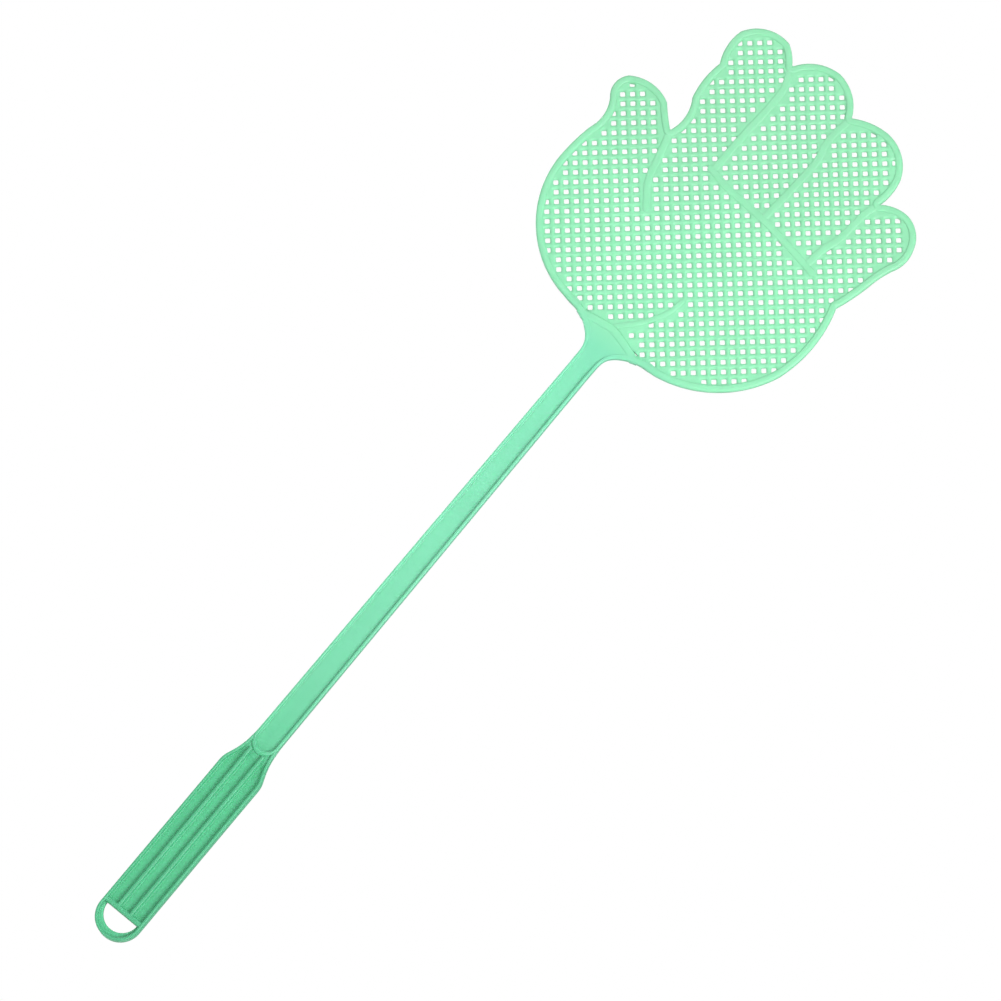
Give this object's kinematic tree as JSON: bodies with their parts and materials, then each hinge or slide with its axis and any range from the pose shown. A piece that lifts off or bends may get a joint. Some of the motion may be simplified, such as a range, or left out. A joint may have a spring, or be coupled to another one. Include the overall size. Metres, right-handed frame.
{
  "type": "fly swatter",
  "caption": "Hand-shaped plastic fly swatter with a square-hole mesh head, H-section flexing shaft, ribbed grip and D-shaped hanging eye.",
  "frame": {"origin": "centre of the grip, on the middle plane of its thickness", "axes": "+Z along the shaft from the grip to the fingertips; -Y out of the front face; +X towards the little finger"},
  "size_m": [0.1358, 0.007, 0.4493],
  "materials": {
    "grip_plastic": "satin moulded polypropylene",
    "frame_plastic": "satin moulded polypropylene",
    "mesh_plastic": "satin moulded polypropylene"
  },
  "bodies": {
    "handle": {"hanging_loop": "grip_plastic", "loop_lip": "grip_plastic", "grip_end_wall": "grip_plastic", "grip_wall_left": "grip_plastic", "grip_wall_right": "grip_plastic", "grip_floor": "grip_plastic", "grip_rib_left": "grip_plastic", "grip_rib_right": "grip_plastic", "back_rib_left": "grip_plastic", "back_rib_right": "grip_plastic", "shaft_foot": "frame_plastic", "lower_web": "frame_plastic", "lower_rail_left": "frame_plastic", "lower_rail_right": "frame_plastic"},
    "head": {"upper_web": "frame_plastic", "upper_rail_left": "frame_plastic", "upper_rail_right": "frame_plastic", "neck_web": "frame_plastic", "neck_flange_left": "frame_plastic", "neck_flange_right": "frame_plastic", "neck_ridge": "frame_plastic", "thumb_rim": "mesh_plastic", "index_rim": "mesh_plastic", "middle_rim": "mesh_plastic", "ring_rim": "mesh_plastic", "little_rim": "mesh_plastic", "palm_rim": "mesh_plastic", "thumb_mesh": "mesh_plastic", "index_mesh": "mesh_plastic", "middle_mesh": "mesh_plastic", "ring_mesh": "mesh_plastic", "little_mesh": "mesh_plastic", "palm_mesh": "mesh_plastic", "thumb_crease": "mesh_plastic", "index_crease": "mesh_plastic", "middle_crease": "mesh_plastic", "ring_crease": "mesh_plastic", "knuckle_crease": "mesh_plastic", "wrist_crease": "mesh_plastic"}
  },
  "joints": [
    {"name": "shaft_flex", "type": "hinge", "parent": "handle", "child": "head", "pos_m": [0, 0, 0.14825], "axis": [1, 0, 0], "range_deg": [-20, 20], "stiffness_Nm_per_rad": 0.16}
  ]
}
